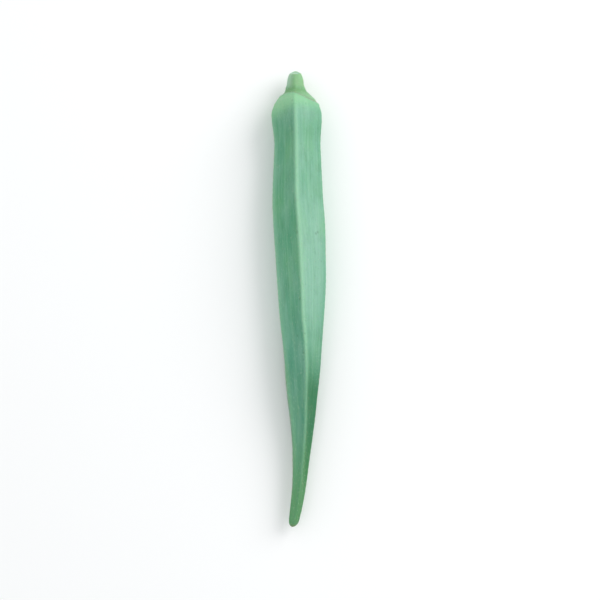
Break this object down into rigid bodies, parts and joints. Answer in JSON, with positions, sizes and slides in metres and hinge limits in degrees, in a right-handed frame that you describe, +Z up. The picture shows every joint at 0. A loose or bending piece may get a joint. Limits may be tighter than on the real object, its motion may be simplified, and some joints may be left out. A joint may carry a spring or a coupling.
{
  "type": "okra pod",
  "caption": "Whole fresh okra pod: a long tapering ridged green pod with a capped stalk end and a slightly hooked tip, lying on its side.",
  "frame": {"origin": "on the surface that the pod lies on, under the middle of the pod's box", "axes": "+Y along the pod towards the stalk, +Z up, +X to the right when seen from above with the stalk pointing away"},
  "size_m": [0.0164, 0.14, 0.015],
  "materials": {
    "pod_skin": "satin"
  },
  "bodies": {
    "root": {"okra_pod": "pod_skin"}
  },
  "joints": []
}
